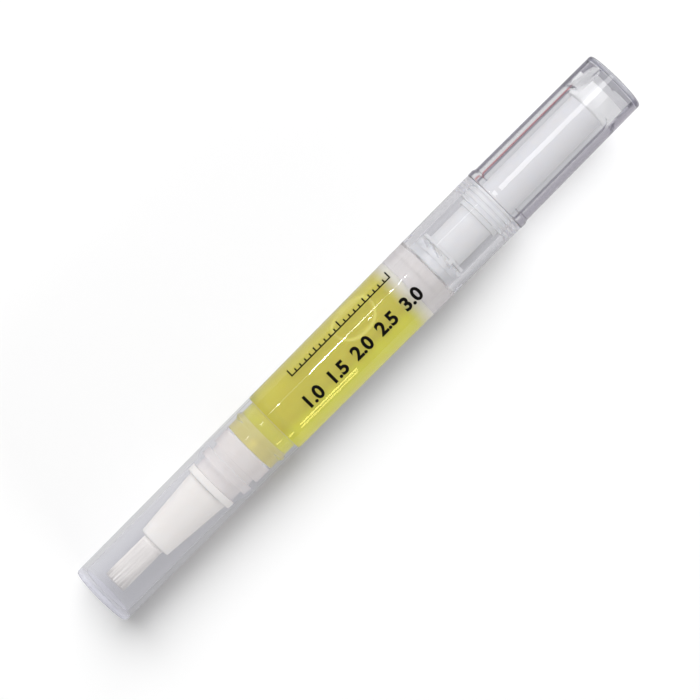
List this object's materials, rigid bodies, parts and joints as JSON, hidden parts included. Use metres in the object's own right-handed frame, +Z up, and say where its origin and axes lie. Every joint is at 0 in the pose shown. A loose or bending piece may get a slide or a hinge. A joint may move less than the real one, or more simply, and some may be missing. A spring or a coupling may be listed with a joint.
{
  "type": "twist-up cosmetic oil pen",
  "caption": "Clear twist-up oil pen: capped brush nozzle, oil-filled barrel with piston and screw drive, and a ratcheted twist knob.",
  "frame": {"origin": "on the surface that the pen lies on, below the middle of its length", "axes": "+X along the pen from the cap to the twist knob, +Z up from the surface"},
  "size_m": [0.135, 0.014, 0.0139],
  "materials": {
    "cap_clear": "clear, faintly frosted moulding",
    "nylon": "fine nylon bristle",
    "white_plastic": "white moulding",
    "nozzle_white": "warm white satin moulding",
    "natural_plastic": "translucent natural moulding",
    "barrel_clear": "clear polished moulding",
    "oil": "clear yellow oil",
    "milky_plastic": "milky translucent tube",
    "knob_clear": "clear polished moulding"
  },
  "bodies": {
    "barrel": {"barrel": "barrel_clear", "nozzle": "nozzle_white", "bristles": "nylon", "bristle_holder": "white_plastic", "feed_tube": "natural_plastic", "neck_plug": "natural_plastic", "oil_fill": "oil", "thread_nut": "white_plastic", "ratchet_ring": "white_plastic", "rear_bearing": "natural_plastic"},
    "cap": {"cap": "cap_clear"},
    "knob": {"knob": "knob_clear", "drive_sleeve": "milky_plastic", "click_ring": "natural_plastic"},
    "piston": {"piston": "natural_plastic"},
    "screw": {"screw_rod": "white_plastic"}
  },
  "joints": [
    {"name": "cap_pull", "type": "slide", "parent": "barrel", "child": "cap", "axis": [-1, 0, 0], "range_m": [0, 0.045]},
    {"name": "knob_turn", "type": "hinge", "parent": "barrel", "child": "knob", "pos_m": [0.05, 0, 0.00698], "axis": [-1, 0, 0], "range_deg": [0, 3960], "deforming": ["click_ring"]},
    {"name": "piston_feed", "type": "slide", "parent": "barrel", "child": "piston", "axis": [-1, 0, 0], "range_m": [0, 0.033], "deforming": ["oil_fill"]},
    {"name": "screw_feed", "type": "slide", "parent": "knob", "child": "screw", "axis": [-1, 0, 0], "range_m": [0, 0.033]}
  ],
  "couplings": [
    {"joint": "piston_feed", "follows": "knob_turn", "m_per_rad": 0.00047746},
    {"joint": "screw_feed", "follows": "knob_turn", "m_per_rad": 0.00047746}
  ]
}
